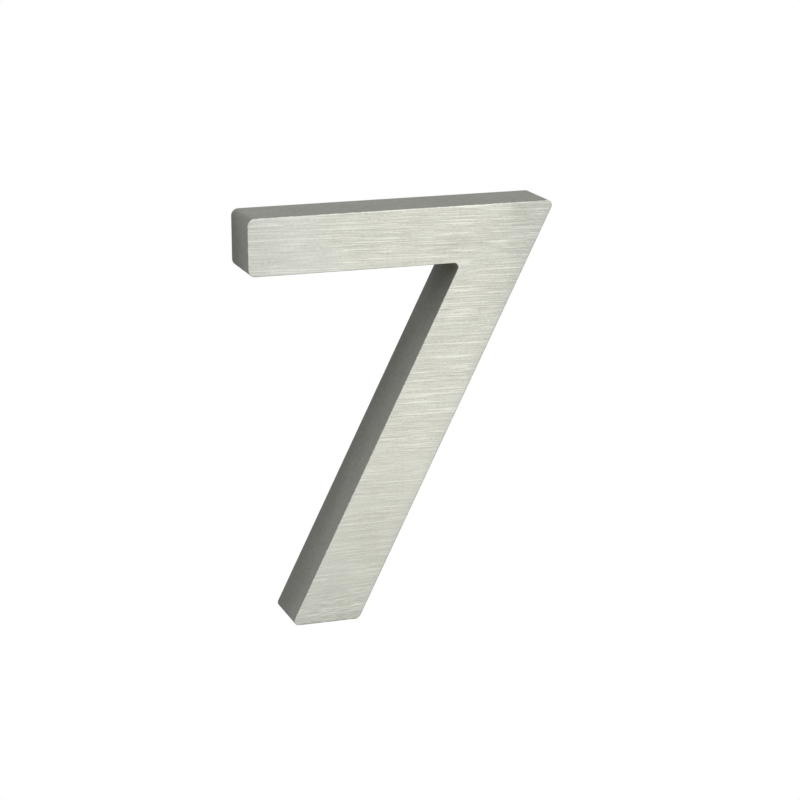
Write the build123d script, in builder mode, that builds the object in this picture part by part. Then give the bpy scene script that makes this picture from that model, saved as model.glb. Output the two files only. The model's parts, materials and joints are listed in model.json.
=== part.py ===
from build123d import *
from math import hypot, radians, tan
import os

# A numeral seven for a house front: one solid figure with a flat face, plain sides,
# softened corners and two tapped holes in the back for the studs that hold it.
# +Z is up, the front faces -Y, and the back lies in the plane of the wall, y = 0.
# The origin is on the back, at the middle of the figure's height and width.

# Driving dimensions in millimetres, angles in degrees

# The figure
height = 100.0
width = 76.0  # to the point where the bar's top and the stem's right side would meet
depth = 15.0
bar_height = 13.75
stem_width = 15.25  # square to the stem's sides
stem_lean = 0.5  # sideways run for each millimetre of height

# Its corners, seen from the front
blunt_corner_radius = 1.75  # both corners of the bar's left end, and the heel of the foot
sharp_corner_radius = 1.2  # the bar's right tip and the toe of the foot
inner_corner_radius = 1.0  # where the bar's underside meets the stem

# Its edges
front_edge_radius = 0.25
back_edge_chamfer = 0.2

# The stud holes in the back
tap_drill_diameter = 3.3  # for a 4 mm stud thread
drill_point_angle = 118.0
mouth_chamfer = 0.4
mouth_angle = 90.0
front_web = 5.0  # metal left between the drill point and the front
lower_hole_rise = 12.0  # above the foot, on the stem's centre line

# The figure's lines
left = -width / 2
right = width / 2
top = height / 2
foot = -height / 2
bar_underside = top - bar_height
bar_middle = top - bar_height / 2

# The stem runs down from the bar's right tip, with parallel sides
foot_width = stem_width * hypot(1, stem_lean)
heel_x = right - height * stem_lean
toe_x = heel_x - foot_width
inner_corner_x = toe_x + (bar_underside - foot) * stem_lean

# The upper stud hole is plumb above the lower one, half way up the bar
lower_hole_z = foot + lower_hole_rise
stud_hole_x = toe_x + foot_width / 2 + lower_hole_rise * stem_lean
tap_drill_radius = tap_drill_diameter / 2
drill_point_length = tap_drill_radius / tan(radians(drill_point_angle / 2))
stud_hole_depth = depth - front_web - drill_point_length

corners = [
    (left, top),
    (right, top),
    (heel_x, foot),
    (toe_x, foot),
    (inner_corner_x, bar_underside),
    (left, bar_underside),
]
corner_radii = [
    blunt_corner_radius,
    sharp_corner_radius,
    blunt_corner_radius,
    sharp_corner_radius,
    inner_corner_radius,
    blunt_corner_radius,
]

with BuildPart() as numeral:
    # The figure's outline, drawn on the back and carried forward to the front
    with BuildSketch(Plane.XZ):
        with BuildLine():
            FilletPolyline(*corners, radius=corner_radii, close=True)
        make_face()
    extrude(amount=depth)

    # A soft edge round the front, and a light chamfer round the back
    front_face = numeral.faces().sort_by(Axis.Y)[0]
    fillet(front_face.edges(), radius=front_edge_radius)
    back_face = numeral.faces().sort_by(Axis.Y)[-1]
    chamfer(back_face.edges(), length=back_edge_chamfer)

    # Two blind holes drilled from the back, on a plane whose x is up and whose y is right
    with Locations(Plane.ZX):
        with Locations((bar_middle, stud_hole_x), (lower_hole_z, stud_hole_x)):
            CounterSinkHole(
                radius=tap_drill_radius,
                counter_sink_radius=tap_drill_radius + mouth_chamfer,
                depth=stud_hole_depth,
                counter_sink_angle=mouth_angle,
            )
            with Locations((0, 0, -stud_hole_depth)):
                Cone(
                    bottom_radius=tap_drill_radius,
                    top_radius=0,
                    height=drill_point_length,
                    rotation=(180, 0, 0),
                    align=(Align.CENTER, Align.CENTER, Align.MIN),
                    mode=Mode.SUBTRACT,
                )

numeral.part.label = "numeral"

os.makedirs("parts", exist_ok=True)
export_step(numeral.part, "parts/numeral.step")
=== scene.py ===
import json
import math
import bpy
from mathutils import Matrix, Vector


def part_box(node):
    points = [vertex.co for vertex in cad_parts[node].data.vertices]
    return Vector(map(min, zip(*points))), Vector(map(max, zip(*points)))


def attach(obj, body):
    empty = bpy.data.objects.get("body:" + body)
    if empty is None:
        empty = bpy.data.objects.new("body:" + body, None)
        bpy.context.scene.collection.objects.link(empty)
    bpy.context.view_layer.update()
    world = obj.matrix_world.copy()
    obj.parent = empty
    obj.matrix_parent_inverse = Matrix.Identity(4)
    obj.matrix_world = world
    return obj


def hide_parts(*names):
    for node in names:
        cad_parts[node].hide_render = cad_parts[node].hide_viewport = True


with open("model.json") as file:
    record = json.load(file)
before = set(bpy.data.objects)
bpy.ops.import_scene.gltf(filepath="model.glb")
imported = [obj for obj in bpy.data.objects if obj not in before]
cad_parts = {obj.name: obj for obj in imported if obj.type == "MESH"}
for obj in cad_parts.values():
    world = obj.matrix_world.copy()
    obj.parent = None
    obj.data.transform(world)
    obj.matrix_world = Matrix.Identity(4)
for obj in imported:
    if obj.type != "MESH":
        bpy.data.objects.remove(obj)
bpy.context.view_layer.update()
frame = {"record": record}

from types import SimpleNamespace

import bmesh
import bpy
from bpy.props import FloatProperty, FloatVectorProperty, IntProperty, PointerProperty
from mathutils import Matrix, Quaternion, Vector

bl_info = {
    "name": "House numeral",
    "version": (1, 0, 0),
    "blender": (4, 5, 0),
    "location": "3D View > Sidebar > House numeral",
    "description": "A solid metal numeral seven with a brushed face, in a plain studio",
    "category": "Object",
}

# The packed solid sets the figure's box and its stud holes
FIGURE_LOW, FIGURE_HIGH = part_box("numeral")
FIGURE_SIZE = FIGURE_HIGH - FIGURE_LOW
STUD_HOLES = next(mount for mount in frame["record"]["mounts"] if mount["name"] == "stud_holes")

MM = 0.001
WELD = 1e-6  # vertices nearer than this are one
PLACE_DIGITS = 7  # decimals of a metre, finer than the weld
MIDDLE = 0.5  # of a grain's range, and of the tones from dull to light
FLOOR_FACETS = 96
STUDIO_ROUGHNESS = 0.9  # of the floor and the card

# Places in the numeral's list of materials
FACE, SIDE, THREAD = range(3)


# Settings


def length(name, description, default):
    """A size in metres that a user may change."""
    return FloatProperty(
        name=name, description=description, default=default, min=0.0, unit="LENGTH", precision=5
    )


def angle(name, description, degrees):
    """An angle that a user may change, given here in degrees."""
    return FloatProperty(
        name=name, description=description, default=math.radians(degrees), subtype="ANGLE"
    )


def colour(name, description, default):
    """A linear colour that a user may change."""
    return FloatVectorProperty(
        name=name, description=description, default=default, size=3, min=0.0, max=1.0, subtype="COLOR"
    )


def direction(name, description, default):
    """A direction that a user may change."""
    return FloatVectorProperty(
        name=name, description=description, default=default, size=3, subtype="DIRECTION"
    )


def light_strength(name, description, default):
    """The strength of a light that a user may change."""
    return FloatProperty(name=name, description=description, default=default, min=0.0)


def count(name, description, default, least=1):
    """A number of facets that a user may change."""
    return IntProperty(name=name, description=description, default=default, min=least)


class NumeralFigure(bpy.types.PropertyGroup):
    """Sizes of the solid figure."""

    height: length("Height", "Foot to top", FIGURE_SIZE.z)
    width: length("Width", "Left end to where the top and the stem's right side would meet", 76.0 * MM)
    depth: length("Depth", "Back to front", FIGURE_SIZE.y)
    bar_height: length("Bar height", "Thickness of the top bar", 13.75 * MM)
    stem_width: length("Stem width", "Square to the stem's sides", 15.25 * MM)
    stem_lean: FloatProperty(
        name="Stem lean", description="Sideways run of the stem for each unit of height", default=0.5
    )
    blunt_radius: length("Blunt corners", "Corners of the bar's left end and the heel", 1.75 * MM)
    sharp_radius: length("Sharp corners", "The bar's right tip and the toe", 1.2 * MM)
    inner_radius: length("Inner corner", "Where the bar's underside meets the stem", 1.0 * MM)
    front_edge: length("Front edge", "Radius of the edge round the face", 0.25 * MM)
    back_chamfer: length("Back chamfer", "Chamfer of the edge round the back", 0.2 * MM)
    corner_steps: count("Corner steps", "Facets along each rounded corner", 14)
    edge_steps: count("Edge steps", "Facets across the front edge", 5)


class NumeralHoles(bpy.types.PropertyGroup):
    """Sizes of the tapped stud holes."""

    bore_radius: length("Bore radius", "Crest of the thread", STUD_HOLES["dims"]["hole_r_mm"] * MM)
    thread_radius: length("Thread radius", "Root of the thread", 2.0 * MM)
    pitch: length("Pitch", "Rise of the thread in one turn", 0.7 * MM)
    mouth_chamfer: length("Mouth chamfer", "Chamfer round the hole's mouth", 0.4 * MM)
    front_web: length("Front web", "Metal left in front of the drill point", 5.0 * MM)
    point_angle: angle("Drill point", "Included angle of the drill point", 118.0)
    runout: length("Run-out", "Length over which the thread fades, above the drill point", 1.2 * MM)
    facets: count("Facets", "Facets round the hole", 48, least=8)
    rows_per_turn: count("Rows", "Rows of facets for each turn of thread", 8, least=4)


class NumeralFinish(bpy.types.PropertyGroup):
    """Colours and grain of the metal."""

    face_light: colour("Face light", "Bright strokes of the brushed face", (0.848, 0.85, 0.758))
    face_dull: colour("Face dull", "Dull strokes of the brushed face", (0.405, 0.406, 0.352))
    face_cool: colour("Face cool", "Cooler tone near the ends of the face", (0.59, 0.604, 0.592))
    # The sides' painted light and shade move their colour between side light and side dark
    side_light: colour("Side light", "Lighter grain of the matte sides", (0.42, 0.425, 0.385))
    side_dark: colour("Side dark", "Darker grain of the matte sides", (0.27, 0.273, 0.245))
    # Colour of the painted shade in the inner corner under the bar
    painted_corner_shade: colour("Corner film", "Polish left in the inner corner", (0.265, 0.251, 0.145))
    thread_metal: colour("Thread", "Freshly cut metal in the holes", (0.42, 0.42, 0.39))
    stroke_length: length("Stroke length", "Usual length of a brush stroke", 13.0 * MM)
    stroke_width: length("Stroke width", "Usual width of a brush stroke", 0.24 * MM)
    stroke_tilt: angle("Stroke tilt", "Fall of the brush strokes to the right, on the bar", 1.4)
    stroke_fan: angle("Stroke fan", "Change of their tilt from the bar to the foot", 3.4)
    fan_height: length("Fan height", "Height above the foot where their tilt starts to turn", 40.0 * MM)
    faint_height: length("Faint height", "Height above the foot where they start to fade", 75.0 * MM)
    # The darker ends of the face are painted shade where the light falls off
    left_fade: length("Left fade", "Reach of the duller metal from the bar's left end", 14.0 * MM)
    tip_fade: length("Tip fade", "Reach of the duller metal from the bar's right tip", 22.0 * MM)
    foot_fade: length("Foot fade", "Reach of the duller metal from the foot", 38.0 * MM)
    foot_scuff: length("Foot scuffs", "Height of the scuffed band above the foot", 10.0 * MM)
    foot_rim: length("Foot rim", "Height of the dullest band above the foot", 3.0 * MM)
    # A darker, cooler band along the stem's right edge
    right_edge_band: length("Stroke run-out", "Width of the cooler band along the stem's right edge", 2.2 * MM)
    # Reach of the painted shade from the inner corner
    painted_shade_reach: length("Film reach", "Reach of the polish from the inner corner", 4.0 * MM)


class NumeralStudio(bpy.types.PropertyGroup):
    """Camera, floor, card and lamps."""

    azimuth: angle("Azimuth", "Turn of the camera round the figure", -18.177)
    elevation: angle("Elevation", "Height of the camera above the horizon", 14.607)
    roll: angle("Roll", "Turn of the camera about its own axis", -0.287)
    distance: length("Distance", "Camera to the point that it looks at", 619.12 * MM)
    target: FloatVectorProperty(
        name="Target",
        description="Point that the camera looks at",
        default=(3.698 * MM, 0.068 * MM, -0.189 * MM),
        size=3,
        subtype="TRANSLATION",
    )
    lens: FloatProperty(
        name="Lens", description="Focal length for a 36 mm sensor", default=113.6, unit="CAMERA"
    )
    floor_drop: length("Floor drop", "Floor below the foot", 150.0 * MM)
    floor_radius: length("Floor radius", "Reach of the floor", 600.0 * MM)
    shadow_radius: length("Shadow radius", "Reach of the floor that shows most shadow", 96.0 * MM)
    white_radius: length("White radius", "Where the floor is as white as the surround", 204.0 * MM)
    floor_glow: light_strength("Floor glow", "White that is mixed into the floor under the figure", 0.35)
    floor_colour: colour("Floor", "Pale floor", (0.65, 0.65, 0.65))
    flag_distance: length("Flag distance", "Dark card behind the figure's back", 250.0 * MM)
    flag_size: length("Flag size", "Width and height of the dark card", 900.0 * MM)
    flag_colour: colour("Flag", "Dark card", (0.12, 0.12, 0.115))
    ambient: light_strength("Ambient", "Soft light from all round", 0.15)
    key: light_strength("Key", "Strength of the main lamp", 1.75)
    key_from: direction("Key from", "Where the main lamp shines from", (0.25, -0.4, 0.9))
    key_breadth: angle("Key breadth", "How broad the main lamp looks from the figure", 100.0)
    side: light_strength("Side", "Strength of the lamp on the left", 0.68)
    side_from: direction("Side from", "Where the lamp on the left shines from", (-0.85, -0.25, 0.45))
    side_breadth: angle("Side breadth", "How broad the lamp on the left looks from the figure", 80.0)
    back: light_strength("Back", "Strength of the lamp behind", 1.6)
    back_from: direction("Back from", "Where the lamp behind shines from", (0.5, 0.8, 0.1))
    back_breadth: angle("Back breadth", "How broad the lamp behind looks from the figure", 60.0)


# Modelling


def outer_lines(figure):
    """Where the figure's outer limits and the bar's underside lie."""
    top = figure.height / 2
    return SimpleNamespace(
        left=-figure.width / 2,
        right=figure.width / 2,
        top=top,
        foot=-figure.height / 2,
        underside=top - figure.bar_height,
    )


def figure_corners(figure):
    """The outline's corners in order, before they are rounded, each with its place and radius."""
    line = outer_lines(figure)
    heel = line.right - figure.height * figure.stem_lean
    toe = heel - figure.stem_width * math.hypot(1.0, figure.stem_lean)
    inner = toe + (line.underside - line.foot) * figure.stem_lean
    return {
        "upper left": (Vector((line.left, 0.0, line.top)), figure.blunt_radius),
        "tip": (Vector((line.right, 0.0, line.top)), figure.sharp_radius),
        "heel": (Vector((heel, 0.0, line.foot)), figure.blunt_radius),
        "toe": (Vector((toe, 0.0, line.foot)), figure.sharp_radius),
        "inner": (Vector((inner, 0.0, line.underside)), figure.inner_radius),
        "lower left": (Vector((line.left, 0.0, line.underside)), figure.blunt_radius),
    }


def add_outline(bm, figure):
    """One flat face in the plane of the back, with every corner a true arc."""
    corners = list(figure_corners(figure).values())
    verts = [bm.verts.new(point) for point, _ in corners]
    bm.faces.new(verts)
    for index, (corner, radius) in enumerate(corners):
        to_last = (corners[index - 1][0] - corner).normalized()
        to_next = (corners[(index + 1) % len(corners)][0] - corner).normalized()
        half_angle = to_last.angle(to_next) / 2
        centre = corner + (to_last + to_next).normalized() * radius / math.sin(half_angle)
        arc = bmesh.ops.bevel(
            bm,
            geom=[verts[index]],
            affect="VERTICES",
            offset=radius / math.tan(half_angle),
            segments=figure.corner_steps,
            profile=0.5,
            material=-1,
        )
        for vert in arc["verts"]:
            vert.co = centre + (vert.co - centre).normalized() * radius


def lies_at(item, y):
    """Whether an edge or a face lies wholly in one plane parallel to the wall."""
    return all(abs(vert.co.y - y) < WELD for vert in item.verts)


def edges_at(bm, y):
    """The edges that lie in one plane parallel to the wall."""
    return [edge for edge in bm.edges if lies_at(edge, y)]


def bevel_edges_at(bm, y, size, steps):
    """Bevels the edges that lie in one plane parallel to the wall."""
    bmesh.ops.bevel(
        bm,
        geom=edges_at(bm, y),
        affect="EDGES",
        offset=size,
        segments=steps,
        profile=0.5,
        material=-1,
    )


def add_figure(bm, figure):
    """The solid figure, with a rounded front edge and a chamfered back edge, and its back left open."""
    add_outline(bm, figure)
    carried = bmesh.ops.extrude_face_region(bm, geom=bm.faces[:])
    front = [item for item in carried["geom"] if isinstance(item, bmesh.types.BMVert)]
    bmesh.ops.translate(bm, verts=front, vec=(0.0, -figure.depth, 0.0))
    bevel_edges_at(bm, -figure.depth, figure.front_edge, figure.edge_steps)
    bevel_edges_at(bm, 0.0, figure.back_chamfer, steps=1)
    back = [face for face in bm.faces if lies_at(face, 0.0)]
    bmesh.ops.delete(bm, geom=back, context="FACES_ONLY")


def stud_hole_centres():
    """Where the stud holes open in the back, from the packed record."""
    middle = Vector(STUD_HOLES["pos_m"])
    half = Vector((0.0, 0.0, STUD_HOLES["dims"]["spacing_y_mm"] * MM / 2))
    return [middle + half, middle - half]


def mouth_radius(holes):
    """Radius of a stud hole where it opens in the back."""
    return holes.bore_radius + holes.mouth_chamfer


def point_length(holes):
    """Length of the cone that the drill leaves at the end of a stud hole."""
    return holes.bore_radius / math.tan(holes.point_angle / 2)


def bore_end(figure, holes):
    """How far from the back a stud hole keeps its bore."""
    return figure.depth - holes.front_web - point_length(holes)


def hole_profile(figure, holes):
    """Radius and depth along a stud hole's wall, with rows in the bore to cut the thread from."""
    end = bore_end(figure, holes)
    bore_length = end - holes.mouth_chamfer
    rows = math.ceil(bore_length / holes.pitch * holes.rows_per_turn)
    profile = [(mouth_radius(holes), 0.0)]
    for row in range(rows + 1):
        profile.append((holes.bore_radius, holes.mouth_chamfer + bore_length * row / rows))
    profile.append((0.0, end + point_length(holes)))
    return profile


def thread_groove(phase):
    """Depth of a sixty degree thread across one pitch, from 0 on its crest to 1 in its root."""
    from_root = abs(phase % 1.0 - 0.5) * 2
    flank_top, flank_foot = 0.75, 0.125
    return min(max((flank_top - from_root) / (flank_top - flank_foot), 0.0), 1.0)


def cut_thread(bm, figure, holes, centre):
    """Moves a bore's wall outwards along a helix that fades above the drill point."""
    end = bore_end(figure, holes)
    for vert in bm.verts:
        out = vert.co - centre
        depth = -out.y
        across = Vector((out.x, 0.0, out.z))
        in_bore = holes.mouth_chamfer - WELD < depth < end
        if across.length > mouth_radius(holes) or not in_bore:
            continue
        turn = math.atan2(out.z, out.x) / math.tau
        fade = min((end - depth) / holes.runout, 1.0)
        groove = thread_groove(depth / holes.pitch - turn) * fade
        radius = holes.bore_radius + (holes.thread_radius - holes.bore_radius) * groove
        vert.co += across.normalized() * (radius - across.length)


def add_stud_hole(bm, figure, holes, centre):
    """The wall of one blind hole: chamfered mouth, threaded bore and drill point, open at the back."""
    profile = hole_profile(figure, holes)
    line = [bm.verts.new(centre + Vector((radius, -depth, 0.0))) for radius, depth in profile]
    line += [bm.edges.new(pair) for pair in zip(line, line[1:])]
    bmesh.ops.spin(
        bm,
        geom=line,
        cent=centre,
        axis=(0.0, 1.0, 0.0),
        angle=math.tau,
        steps=holes.facets,
        use_merge=True,
    )
    bmesh.ops.remove_doubles(bm, verts=bm.verts[:], dist=WELD)
    cut_thread(bm, figure, holes, centre)


def mark_finishes(bm, figure, holes):
    """Gives the face with its rounded edge, the sides and back, and the stud holes their own finishes."""
    face_limit = -figure.depth + figure.front_edge + WELD
    for face in bm.faces:
        face.smooth = True
        middle = face.calc_center_median()
        in_hole = any(
            math.hypot(middle.x - centre.x, middle.z - centre.z) < mouth_radius(holes)
            for centre in stud_hole_centres()
        )
        if all(vert.co.y < face_limit for vert in face.verts):
            face.material_index = FACE
        elif in_hole:
            face.material_index = THREAD
        else:
            face.material_index = SIDE


def put_in_order(items, place_of):
    """Sorts vertices or faces by their places, so that every run lists them alike."""
    ordered = sorted(items, key=lambda item: place_of(item).to_tuple(PLACE_DIGITS))
    for number, item in enumerate(ordered):
        item.index = number
    items.sort()


def model_numeral(figure, holes):
    """The whole numeral as one closed mesh."""
    bm = bmesh.new()
    add_figure(bm, figure)
    for centre in stud_hole_centres():
        add_stud_hole(bm, figure, holes, centre)
    bmesh.ops.triangle_fill(bm, edges=edges_at(bm, 0.0), use_beauty=True, normal=(0.0, 1.0, 0.0))
    bmesh.ops.recalc_face_normals(bm, faces=bm.faces[:])
    mark_finishes(bm, figure, holes)
    put_in_order(bm.verts, lambda vert: vert.co)
    put_in_order(bm.faces, lambda face: face.calc_center_median())
    return bm


def add_object(name, bm, *materials):
    """An object in the scene, from a finished bmesh and its materials."""
    mesh = bpy.data.meshes.new(name)
    bm.to_mesh(mesh)
    bm.free()
    for material in materials:
        mesh.materials.append(material)
    made = bpy.data.objects.new(name, mesh)
    bpy.context.scene.collection.objects.link(made)
    return made


# Shading


def add_node(tree, kind, **values):
    """One node, with its own settings."""
    node = tree.nodes.new(kind)
    for name, value in values.items():
        setattr(node, name, value)
    return node


def feed(tree, socket, value):
    """Sets a socket to a plain value, or joins it to another socket."""
    if isinstance(value, bpy.types.NodeSocket):
        tree.links.new(value, socket)
    else:
        socket.default_value = value


def calculate(tree, operation, first, second=0.0, third=0.0, clamp=False):
    """A Math node's result."""
    node = add_node(tree, "ShaderNodeMath", operation=operation, use_clamp=clamp)
    for socket, value in zip(node.inputs, (first, second, third)):
        feed(tree, socket, value)
    return node.outputs["Value"]


def add_up(tree, *shares, start=0.0):
    """Several values added up by weight."""
    result = start
    for value, weight in shares:
        result = calculate(tree, "MULTIPLY_ADD", value, weight, third=result)
    return result


def add_up_grains(tree, *shares):
    """Several grains added up by weight, each counted from the middle of its range."""
    weights = sum(weight for _, weight in shares)
    return add_up(tree, *shares, start=MIDDLE * (1.0 - weights))


def swing(tree, value, gain):
    """How far a value is from the middle of its range, times a gain."""
    return calculate(tree, "MULTIPLY", calculate(tree, "SUBTRACT", value, MIDDLE), gain)


def spread(tree, value, low, high, to_low=0.0, to_high=1.0):
    """A value moved from one range to another, smoothly and within its limits."""
    node = add_node(tree, "ShaderNodeMapRange", interpolation_type="SMOOTHSTEP")
    given = {"Value": value, "From Min": low, "From Max": high, "To Min": to_low, "To Max": to_high}
    for name, setting in given.items():
        feed(tree, node.inputs[name], setting)
    return node.outputs["Result"]


def fade_in(tree, value, start, full, strength=1.0):
    """A mask that rises from nothing, at the start, to its strength, at the full value."""
    return spread(tree, value, start, full, to_low=0.0, to_high=strength)


def blend_colours(tree, factor, first, second):
    """Two colours, mixed."""
    node = add_node(tree, "ShaderNodeMix", data_type="RGBA")
    inputs = {socket.identifier: socket for socket in node.inputs}
    outputs = {socket.identifier: socket for socket in node.outputs}
    feed(tree, inputs["Factor_Float"], factor)
    for name, value in (("A_Color", first), ("B_Color", second)):
        joined = isinstance(value, bpy.types.NodeSocket)
        feed(tree, inputs[name], value if joined else (*value, 1.0))
    return outputs["Result_Color"]


def object_place(tree):
    """The place of a point on its object, in metres."""
    return add_node(tree, "ShaderNodeTexCoord").outputs["Object"]


def parts_of(tree, place):
    """A place's three coordinates."""
    node = add_node(tree, "ShaderNodeSeparateXYZ")
    feed(tree, node.inputs["Vector"], place)
    return node.outputs["X"], node.outputs["Y"], node.outputs["Z"]


def flat_distance(tree, place, keep, centre):
    """How far a place is from a centre along the axes that are kept."""
    flat = add_node(tree, "ShaderNodeVectorMath", operation="MULTIPLY")
    feed(tree, flat.inputs[0], place)
    feed(tree, flat.inputs[1], keep)
    distance = add_node(tree, "ShaderNodeVectorMath", operation="DISTANCE")
    feed(tree, distance.inputs[0], flat.outputs["Vector"])
    feed(tree, distance.inputs[1], centre)
    return distance.outputs["Value"]


def stretched_grain_group():
    """A node group that gives grain drawn out to a cell of any length, width and depth."""
    name = "Stretched grain"
    if name in bpy.data.node_groups:
        return bpy.data.node_groups[name]
    tree = bpy.data.node_groups.new(name, "ShaderNodeTree")
    interface = tree.interface
    interface.new_socket("Place", in_out="INPUT", socket_type="NodeSocketVector")
    interface.new_socket("Cell", in_out="INPUT", socket_type="NodeSocketVector")
    interface.new_socket("Detail", in_out="INPUT", socket_type="NodeSocketFloat")
    interface.new_socket("Grain", in_out="OUTPUT", socket_type="NodeSocketFloat")
    given = add_node(tree, "NodeGroupInput")
    result = add_node(tree, "NodeGroupOutput")
    cells = add_node(tree, "ShaderNodeVectorMath", operation="DIVIDE")
    noise = add_node(tree, "ShaderNodeTexNoise")
    noise.inputs["Scale"].default_value = 1.0
    tree.links.new(given.outputs["Place"], cells.inputs[0])
    tree.links.new(given.outputs["Cell"], cells.inputs[1])
    tree.links.new(cells.outputs["Vector"], noise.inputs["Vector"])
    tree.links.new(given.outputs["Detail"], noise.inputs["Detail"])
    tree.links.new(noise.outputs["Fac"], result.inputs["Grain"])
    return tree


def grain(tree, place, cell, detail):
    """Grain of one cell size, in metres, read at a place."""
    node = add_node(tree, "ShaderNodeGroup", node_tree=stretched_grain_group())
    feed(tree, node.inputs["Place"], place)
    feed(tree, node.inputs["Cell"], cell)
    feed(tree, node.inputs["Detail"], detail)
    return node.outputs["Grain"]


def new_material(name, metallic=0.0):
    """A material, returned with its node tree and its shader."""
    material = bpy.data.materials.new(name)
    material.use_nodes = True
    tree = material.node_tree
    shader = next(node for node in tree.nodes if node.type == "BSDF_PRINCIPLED")
    shader.inputs["Metallic"].default_value = metallic
    return material, tree, shader


def add_bump(tree, shader, height, distance, strength):
    """Fine relief on a shader."""
    bump = add_node(tree, "ShaderNodeBump")
    bump.inputs["Distance"].default_value = distance
    bump.inputs["Strength"].default_value = strength
    feed(tree, bump.inputs["Height"], height)
    tree.links.new(bump.outputs["Normal"], shader.inputs["Normal"])


# The brushed face


def stroke_place(tree, place, up, figure, finish):
    """The place on the face, turned so that the strokes run along its first axis."""
    foot = outer_lines(figure).foot
    bar_turn = -finish.stroke_tilt
    foot_turn = finish.stroke_fan - finish.stroke_tilt
    turned = add_node(tree, "ShaderNodeVectorRotate", rotation_type="Y_AXIS")
    feed(tree, turned.inputs["Vector"], place)
    turn = spread(tree, up, foot + finish.fan_height, foot, to_low=bar_turn, to_high=foot_turn)
    feed(tree, turned.inputs["Angle"], turn)
    return turned.outputs["Vector"]


def inside_right_edge(tree, across, up, figure):
    """How far a point is from the stem's slanted right side."""
    line = outer_lines(figure)
    lean = figure.stem_lean
    edge = calculate(tree, "MULTIPLY_ADD", up, lean, third=line.right - line.top * lean)
    return calculate(tree, "DIVIDE", calculate(tree, "SUBTRACT", edge, across), math.hypot(1.0, lean))


def places_on_face(tree, figure, finish):
    """Where a point of the face lies: in the figure, along its strokes and inside the stem's right edge."""
    place = object_place(tree)
    across, into_wall, up = parts_of(tree, place)
    return SimpleNamespace(
        place=place,
        along=stroke_place(tree, place, up, figure, finish),
        across=across,
        into_wall=into_wall,
        up=up,
        inward=inside_right_edge(tree, across, up, figure),
    )


def face_grains(tree, at, figure, finish):
    """The strokes of the brush in several lengths, and the marks among them."""
    long, wide, deep = finish.stroke_length, finish.stroke_width, figure.depth
    return SimpleNamespace(
        strokes=grain(tree, at.along, (long * 1.6, deep, wide), detail=2.0),
        middling_strokes=grain(tree, at.along, (long * 0.25, deep * 0.8, wide), detail=1.0),
        short_strokes=grain(tree, at.along, (long * 0.06, deep, wide * 0.7), detail=1.0),
        bands=grain(tree, at.along, (long * 1.5, deep, wide * 4.0), detail=1.0),
        patches=grain(tree, at.along, (long * 1.2, deep, long * 0.5), detail=2.0),
        hairs=grain(tree, at.along, (long * 0.7, deep * 0.5, wide * 1.4), detail=0.0),
        long_hairs=grain(tree, at.along, (long * 1.5, deep * 0.3, wide * 1.5), detail=0.0),
        scuffs=grain(tree, at.along, (long * 0.3, deep, wide * 0.9), detail=2.0),
        ticks=grain(tree, at.place, (1.6 * MM, 1.0 * MM, 0.5 * MM), detail=2.0),
    )


def end_fades(tree, at, figure, finish):
    """Masks that rise towards the ends of the figure and the stem's right side."""
    line = outer_lines(figure)
    rim = finish.foot_rim
    return SimpleNamespace(
        left=fade_in(tree, at.across, start=line.left + finish.left_fade, full=line.left),
        tip=fade_in(tree, at.across, start=line.right - finish.tip_fade, full=line.right),
        foot=fade_in(tree, at.up, start=line.foot + finish.foot_fade, full=line.foot),
        foot_rim=fade_in(tree, at.up, start=line.foot + rim, full=line.foot + rim / 3),
        foot_edge=fade_in(tree, at.up, start=line.foot + rim / 2, full=line.foot + rim / 6),
        right_edge_band=fade_in(tree, at.inward, start=finish.right_edge_band, full=0.0),
    )


def stroke_tone(tree, grains):
    """How bright the strokes are, with single bright hairs among them."""
    tone = add_up_grains(
        tree,
        (grains.strokes, 0.95),
        (grains.middling_strokes, 0.5),
        (grains.short_strokes, 0.75),
        (grains.bands, 0.15),
        (grains.patches, 0.3),
    )
    hairs = fade_in(tree, grains.hairs, start=0.61, full=0.71)
    long_hairs = fade_in(tree, grains.long_hairs, start=0.66, full=0.74)
    return add_up(tree, (hairs, 0.28), (long_hairs, 0.28), start=tone)


def worn_tone(tree, tone, at, grains, fades, figure, finish):
    """The strokes grown fainter towards the foot, which is scuffed and has bright ticks along its edge,
    partly a painted highlight.
    """
    foot = outer_lines(figure).foot
    contrast = spread(tree, at.up, foot, foot + finish.faint_height, to_low=0.57, to_high=1.15)
    tone = calculate(tree, "ADD", swing(tree, tone, contrast), MIDDLE)
    scuff = finish.foot_scuff
    scuffed = fade_in(tree, at.up, start=foot + scuff, full=foot + scuff / 3, strength=1.5)
    tone = calculate(tree, "ADD", swing(tree, grains.scuffs, scuffed), tone)
    # bright ticks: scuffs, and partly a painted highlight along the foot's edge
    bright_ticks = fade_in(tree, grains.ticks, start=0.56, full=0.68, strength=0.5)
    return calculate(tree, "MULTIPLY_ADD", bright_ticks, fades.foot_edge, third=tone)


def painted_end_shade(tree, fades):
    """Painted shade as the light falls off towards the figure's ends, with a darker foot rim and right-side
    band.
    """
    return add_up(
        tree,
        (fades.left, 0.16),
        (fades.tip, 0.36),
        (fades.foot, 0.22),
        (fades.foot_rim, 0.14),
        (fades.right_edge_band, 0.12),
    )


def cooling(tree, at, grains, fades, figure):
    """How much cooler the metal is: on the bar's left half and tip, the stem's right side and patches."""
    left_half = fade_in(tree, at.across, start=0.0, full=outer_lines(figure).left)
    patches = fade_in(tree, grains.patches, start=MIDDLE, full=0.7)
    return add_up(tree, (left_half, 0.27), (fades.tip, 0.144), (fades.right_edge_band, 0.3), (patches, 0.12))


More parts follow.
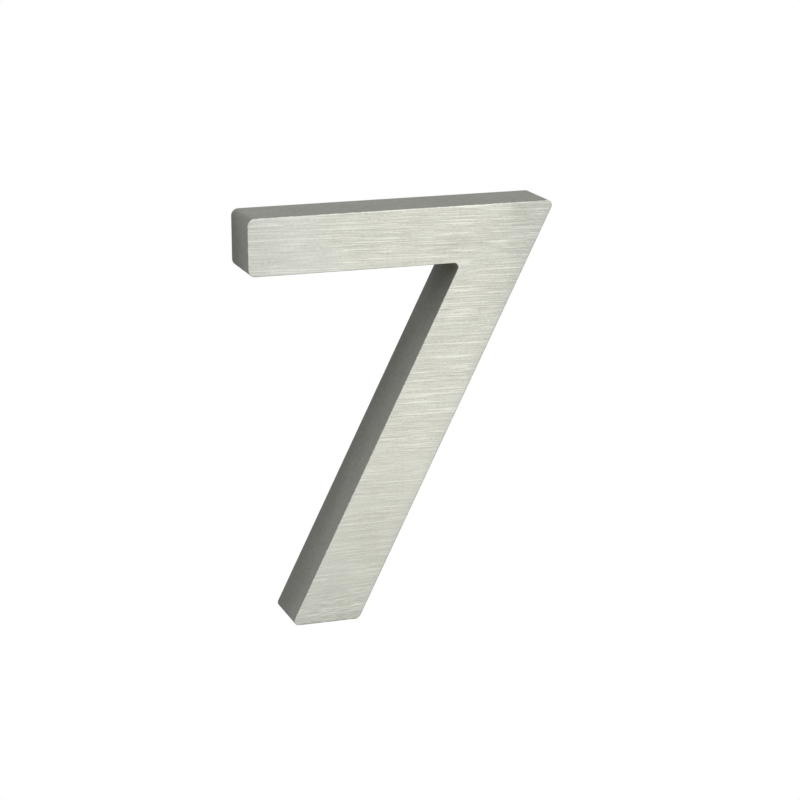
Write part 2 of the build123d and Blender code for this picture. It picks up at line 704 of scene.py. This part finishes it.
def dark_edge(tree, at, grains, figure):
    """The rounded edge is darkened with painted shade, apart from ticks where strokes break over it."""
    front = -figure.depth
    start, full = 0.02 * figure.front_edge, 0.24 * figure.front_edge
    on_edge = fade_in(tree, at.into_wall, start=front + start, full=front + full)
    unbroken = spread(tree, grains.ticks, 0.66, 0.42, to_low=0.3, to_high=0.85)
    return calculate(tree, "MULTIPLY", on_edge, unbroken)


def dark_line(tree, at, grains, figure):
    """A thin broken line along the foot and the stem's right side, a painted dark reflection on the edge.
    """
    foot = outer_lines(figure).foot
    foot_line = fade_in(tree, at.up, start=foot + 0.45 * MM, full=foot + 0.15 * MM, strength=0.8)
    right_line = fade_in(tree, at.inward, start=0.4 * MM, full=0.12 * MM, strength=0.55)
    line = calculate(tree, "MAXIMUM", foot_line, right_line)
    unbroken = spread(tree, grains.ticks, 0.66, 0.52, to_low=0.2, to_high=1.0)
    return calculate(tree, "MULTIPLY", line, unbroken)


def brushed_face_metal(figure, finish):
    """The front: fine strokes that run across the figure, cooler near its ends and darker there with
    painted shade.
    """
    material, tree, shader = new_material("Brushed face", metallic=1.0)
    at = places_on_face(tree, figure, finish)
    grains = face_grains(tree, at, figure, finish)
    fades = end_fades(tree, at, figure, finish)
    tone = worn_tone(tree, stroke_tone(tree, grains), at, grains, fades, figure, finish)
    # painted shade towards the ends of the face
    tone = calculate(tree, "SUBTRACT", tone, painted_end_shade(tree, fades), clamp=True)
    metal = blend_colours(tree, tone, finish.face_dull, finish.face_light)
    metal = blend_colours(tree, cooling(tree, at, grains, fades, figure), metal, finish.face_cool)
    # painted shade on the rounded edge
    metal = blend_colours(tree, dark_edge(tree, at, grains, figure), metal, finish.side_dark)
    # painted dark reflection along the foot and the stem's right edge
    metal = blend_colours(tree, dark_line(tree, at, grains, figure), metal, finish.side_dark)
    feed(tree, shader.inputs["Base Color"], metal)
    feed(tree, shader.inputs["Roughness"], spread(tree, tone, 0.2, 0.8, to_low=0.46, to_high=0.34))
    shader.inputs["Anisotropic"].default_value = 0.6
    shader.inputs["Anisotropic Rotation"].default_value = 0.25  # the shine spreads across the strokes
    add_bump(tree, shader, grains.strokes, distance=0.02 * MM, strength=0.3)
    return material


# The matte sides and the cut threads


def places_on_side(tree, figure):
    """Where a point of the sides or back lies, with masks that leave out the top and the back."""
    place = object_place(tree)
    _, into_wall, up = parts_of(tree, place)
    top = outer_lines(figure).top
    inner, _ = figure_corners(figure)["inner"]
    return SimpleNamespace(
        place=place,
        into_wall=into_wall,
        up=up,
        from_corner=flat_distance(tree, place, keep=(1.0, 0.0, 1.0), centre=inner),
        off_top=fade_in(tree, up, start=top, full=top - 2.0 * MM),
        off_back=fade_in(tree, into_wall, start=-0.05 * MM, full=-0.3 * MM),
    )


def side_tone(tree, place, fine):
    """How bright the grain of the sides is: fine, drawn along the depth, mottled and clouded."""
    drawn = grain(tree, place, (0.35 * MM, 9.0 * MM, 0.35 * MM), detail=1.0)
    mottle = grain(tree, place, (1.1 * MM, 1.6 * MM, 1.1 * MM), detail=2.0)
    clouds = grain(tree, place, (11.0 * MM, 6.0 * MM, 11.0 * MM), detail=1.0)
    return add_up_grains(tree, (fine, 0.8), (drawn, 0.25), (mottle, 0.65), (clouds, 0.5))


def painted_side_shade(tree, at, figure):
    """Painted shade: lighter towards the front and up the bar's end, darker by the inner corner and far
    down the stem.
    """
    top = outer_lines(figure).top
    # Painted light and shade in the sides' colour, for how the lamps light them and the bar shades them
    to_front = spread(tree, at.into_wall, 0.0, -figure.depth, to_low=-0.5, to_high=0.4)
    open_side = spread(tree, at.from_corner, 2.0 * MM, 28.0 * MM, to_low=-0.6, to_high=1.0)
    up_the_end = fade_in(tree, at.up, start=top - 0.6 * figure.bar_height, full=top, strength=0.3)
    light = calculate(tree, "MULTIPLY_ADD", to_front, open_side, third=up_the_end)
    light = calculate(tree, "MULTIPLY", light, at.off_top)
    by_corner = fade_in(tree, at.from_corner, start=18.0 * MM, full=0.0)
    far_down = fade_in(tree, at.from_corner, start=50.0 * MM, full=90.0 * MM)
    shade = add_up(tree, (light, 1.0), (by_corner, -0.4), (far_down, -0.17))
    return calculate(tree, "MULTIPLY", shade, at.off_back)


def belt_marks(tree, at):
    """The marks of a sanding belt, on the back alone."""
    belt = grain(tree, at.place, (9.0 * MM, 9.0 * MM, 0.3 * MM), detail=2.0)
    on_back = calculate(tree, "SUBTRACT", 1.0, at.off_back)
    return calculate(tree, "MULTIPLY", swing(tree, belt, gain=1.2), on_back)


def painted_corner_shade(tree, at, finish):
    """Painted shade in the inner corner, off the back."""
    reach = finish.painted_shade_reach
    corner_darkening = fade_in(tree, at.from_corner, start=reach, full=reach / 10, strength=0.7)
    return calculate(tree, "MULTIPLY", corner_darkening, at.off_back)


def matte_side_metal(figure, finish):
    """The sides and back: matte metal with a very fine grain drawn along the depth, and painted light and
    shade.
    """
    material, tree, shader = new_material("Matte side", metallic=0.3)
    at = places_on_side(tree, figure)
    fine = grain(tree, at.place, (0.3 * MM, 0.3 * MM, 0.3 * MM), detail=1.0)
    tone = side_tone(tree, at.place, fine)
    # painted light and shade of the sides, with the sanding marks on the back
    shade = calculate(tree, "ADD", painted_side_shade(tree, at, figure), belt_marks(tree, at))
    tone_with_painted_shade = calculate(tree, "ADD", tone, shade, clamp=True)
    metal = blend_colours(tree, tone_with_painted_shade, finish.side_dark, finish.side_light)
    # painted shade in the inner corner
    metal = blend_colours(tree, painted_corner_shade(tree, at, finish), metal, finish.painted_corner_shade)
    feed(tree, shader.inputs["Base Color"], metal)
    feed(tree, shader.inputs["Roughness"], spread(tree, tone, 0.3, 0.7, to_low=0.62, to_high=0.5))
    shader.inputs["Specular IOR Level"].default_value = 0.12
    add_bump(tree, shader, fine, distance=0.02 * MM, strength=0.25)
    return material


def cut_thread_metal(finish):
    """The stud holes: bright metal as the tap leaves it, with faint cutting marks round the hole."""
    material, tree, shader = new_material("Cut thread", metallic=1.0)
    marks = grain(tree, object_place(tree), (1.5 * MM, 0.06 * MM, 1.5 * MM), detail=2.0)
    clean = spread(tree, marks, 0.35, 0.65)
    marked_metal = [value * 0.9 for value in finish.thread_metal]
    feed(tree, shader.inputs["Base Color"], blend_colours(tree, clean, marked_metal, finish.thread_metal))
    feed(tree, shader.inputs["Roughness"], spread(tree, marks, 0.35, 0.65, to_low=0.42, to_high=0.28))
    add_bump(tree, shader, marks, distance=0.01 * MM, strength=0.3)
    return material


# Studio


def seen_ray(tree):
    """One for rays from the eye, a reflection or clear stuff, and nothing for the light that is shed."""
    path = add_node(tree, "ShaderNodeLightPath")
    seen = calculate(tree, "MAXIMUM", path.outputs["Is Camera Ray"], path.outputs["Is Glossy Ray"])
    return calculate(tree, "MAXIMUM", seen, path.outputs["Is Transmission Ray"])


def mix_shaders(tree, factor, first, second):
    """Two shaders, mixed."""
    node = add_node(tree, "ShaderNodeMixShader")
    for socket, value in zip(node.inputs, (factor, first, second)):
        feed(tree, socket, value)
    return node.outputs["Shader"]


def floor_material(studio):
    """A pale floor that holds a shadow, passes into the white surround and is clear from below."""
    material, tree, shader = new_material("Pale floor")
    shader.inputs["Base Color"].default_value = (*studio.floor_colour, 1.0)
    shader.inputs["Roughness"].default_value = STUDIO_ROUGHNESS
    shader.inputs["Specular IOR Level"].default_value = 0.0
    reach = flat_distance(tree, object_place(tree), keep=(1.0, 1.0, 0.0), centre=(0.0, 0.0, 0.0))
    white = spread(tree, reach, studio.shadow_radius, studio.white_radius, to_low=studio.floor_glow)
    white = calculate(tree, "MULTIPLY", white, seen_ray(tree))
    glow = add_node(tree, "ShaderNodeEmission").outputs["Emission"]
    clear = add_node(tree, "ShaderNodeBsdfTransparent").outputs["BSDF"]
    from_below = add_node(tree, "ShaderNodeNewGeometry").outputs["Backfacing"]
    surface = mix_shaders(tree, white, shader.outputs["BSDF"], glow)
    surface = mix_shaders(tree, from_below, surface, clear)
    output = next(node for node in tree.nodes if node.type == "OUTPUT_MATERIAL")
    tree.links.new(surface, output.inputs["Surface"])
    return material


def make_floor(figure, studio):
    """A round floor below the figure."""
    bm = bmesh.new()
    place = Matrix.Translation((0.0, 0.0, outer_lines(figure).foot - studio.floor_drop))
    bmesh.ops.create_circle(
        bm, cap_ends=True, radius=studio.floor_radius, segments=FLOOR_FACETS, matrix=place
    )
    floor = add_object("floor", bm, floor_material(studio))


def card_material(studio):
    """A plain dark card."""
    material, _, shader = new_material("Dark card")
    shader.inputs["Base Color"].default_value = (*studio.flag_colour, 1.0)
    shader.inputs["Roughness"].default_value = STUDIO_ROUGHNESS
    return material


def make_flag(studio):
    """A dark card behind the figure that only reflections see, to give the metal's sides some depth."""
    bm = bmesh.new()
    place = Matrix.Translation((0.0, studio.flag_distance, 0.0)) @ Matrix.Rotation(math.pi / 2, 4, "X")
    bmesh.ops.create_grid(bm, x_segments=1, y_segments=1, size=studio.flag_size / 2, matrix=place)
    flag = add_object("flag", bm, card_material(studio))
    flag.visible_camera = False
    flag.visible_diffuse = False
    flag.visible_shadow = False


def light_world(studio):
    """A white surround for the eye and for reflections, and a softer one for the light that it sheds."""
    world = bpy.data.worlds.new("Studio")
    bpy.context.scene.world = world
    world.use_nodes = True
    tree = world.node_tree
    tree.nodes.clear()
    background = add_node(tree, "ShaderNodeBackground")
    background.inputs["Color"].default_value = (1.0, 1.0, 1.0, 1.0)
    white = calculate(tree, "MULTIPLY_ADD", seen_ray(tree), 1.0 - studio.ambient, third=studio.ambient)
    feed(tree, background.inputs["Strength"], white)
    output = add_node(tree, "ShaderNodeOutputWorld")
    tree.links.new(background.outputs["Background"], output.inputs["Surface"])


def add_lamp(name, energy, shines_from, breadth, mirrored=True):
    """A broad distant lamp, which may be left out of reflections."""
    lamp = bpy.data.lights.new(name, "SUN")
    lamp.energy = energy
    lamp.angle = breadth
    holder = bpy.data.objects.new(name, lamp)
    holder.visible_glossy = mirrored
    holder.rotation_mode = "QUATERNION"
    holder.rotation_quaternion = Vector(shines_from).to_track_quat("Z", "Y")
    bpy.context.scene.collection.objects.link(holder)


def add_camera(studio):
    """The camera, set round the figure by its angles."""
    turn, rise = studio.azimuth, studio.elevation
    back = Vector((math.sin(turn) * math.cos(rise), -math.cos(turn) * math.cos(rise), math.sin(rise)))
    data = bpy.data.cameras.new("camera")
    data.lens = studio.lens
    camera = bpy.data.objects.new("camera", data)
    camera.location = Vector(studio.target) + back * studio.distance
    camera.rotation_mode = "QUATERNION"
    level = (-back).to_track_quat("-Z", "Y")
    camera.rotation_quaternion = level @ Quaternion((0.0, 0.0, 1.0), studio.roll)
    bpy.context.scene.collection.objects.link(camera)
    bpy.context.scene.camera = camera


# Operators and panel


class HOUSE_NUMERAL_OT_build_numeral(bpy.types.Operator):
    """Build the numeral with its brushed face, matte sides and tapped stud holes"""

    bl_idname = "house_numeral.build_numeral"
    bl_label = "Build numeral"

    def execute(self, context):
        figure = context.scene.numeral_figure
        finish = context.scene.numeral_finish
        numeral = add_object(
            "numeral_seven",
            model_numeral(figure, context.scene.numeral_holes),
            brushed_face_metal(figure, finish),
            matte_side_metal(figure, finish),
            cut_thread_metal(finish),
        )
        normals = numeral.modifiers.new("Flat faces", "WEIGHTED_NORMAL")
        normals.weight = 100  # large faces count for far more than small ones
        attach(numeral, "root")
        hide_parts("numeral")
        return {"FINISHED"}


class HOUSE_NUMERAL_OT_build_studio(bpy.types.Operator):
    """Build the floor, the card, the lamps, the surround and the camera"""

    bl_idname = "house_numeral.build_studio"
    bl_label = "Build studio"

    def execute(self, context):
        studio = context.scene.numeral_studio
        context.scene.view_settings.view_transform = "Standard"
        make_floor(context.scene.numeral_figure, studio)
        make_flag(studio)
        light_world(studio)
        add_lamp("key", studio.key, studio.key_from, studio.key_breadth)
        add_lamp("side", studio.side, studio.side_from, studio.side_breadth, mirrored=False)
        add_lamp("back", studio.back, studio.back_from, studio.back_breadth, mirrored=False)
        add_camera(studio)
        return {"FINISHED"}


class HOUSE_NUMERAL_PT_sidebar(bpy.types.Panel):
    """The numeral's settings and the steps that build it"""

    bl_label = "House numeral"
    bl_idname = "HOUSE_NUMERAL_PT_sidebar"
    bl_space_type = "VIEW_3D"
    bl_region_type = "UI"
    bl_category = "House numeral"

    def draw(self, context):
        for name, group in SETTINGS.items():
            box = self.layout.box()
            box.label(text=group.__doc__)
            for setting in group.__annotations__:
                box.prop(getattr(context.scene, name), setting)
        self.layout.operator(HOUSE_NUMERAL_OT_build_numeral.bl_idname)
        self.layout.operator(HOUSE_NUMERAL_OT_build_studio.bl_idname)


SETTINGS = {
    "numeral_figure": NumeralFigure,
    "numeral_holes": NumeralHoles,
    "numeral_finish": NumeralFinish,
    "numeral_studio": NumeralStudio,
}
CLASSES = (
    *SETTINGS.values(),
    HOUSE_NUMERAL_OT_build_numeral,
    HOUSE_NUMERAL_OT_build_studio,
    HOUSE_NUMERAL_PT_sidebar,
)


def register():
    """Adds the classes, and the settings that the scene holds."""
    for part in CLASSES:
        bpy.utils.register_class(part)
    for name, group in SETTINGS.items():
        setattr(bpy.types.Scene, name, PointerProperty(type=group))


def unregister():
    """Takes the settings and the classes away again."""
    for name in SETTINGS:
        delattr(bpy.types.Scene, name)
    for part in reversed(CLASSES):
        bpy.utils.unregister_class(part)


def main():
    """Builds the numeral and its studio."""
    register()
    bpy.ops.house_numeral.build_numeral()
    bpy.ops.house_numeral.build_studio()


if __name__ == "__main__":
    main()
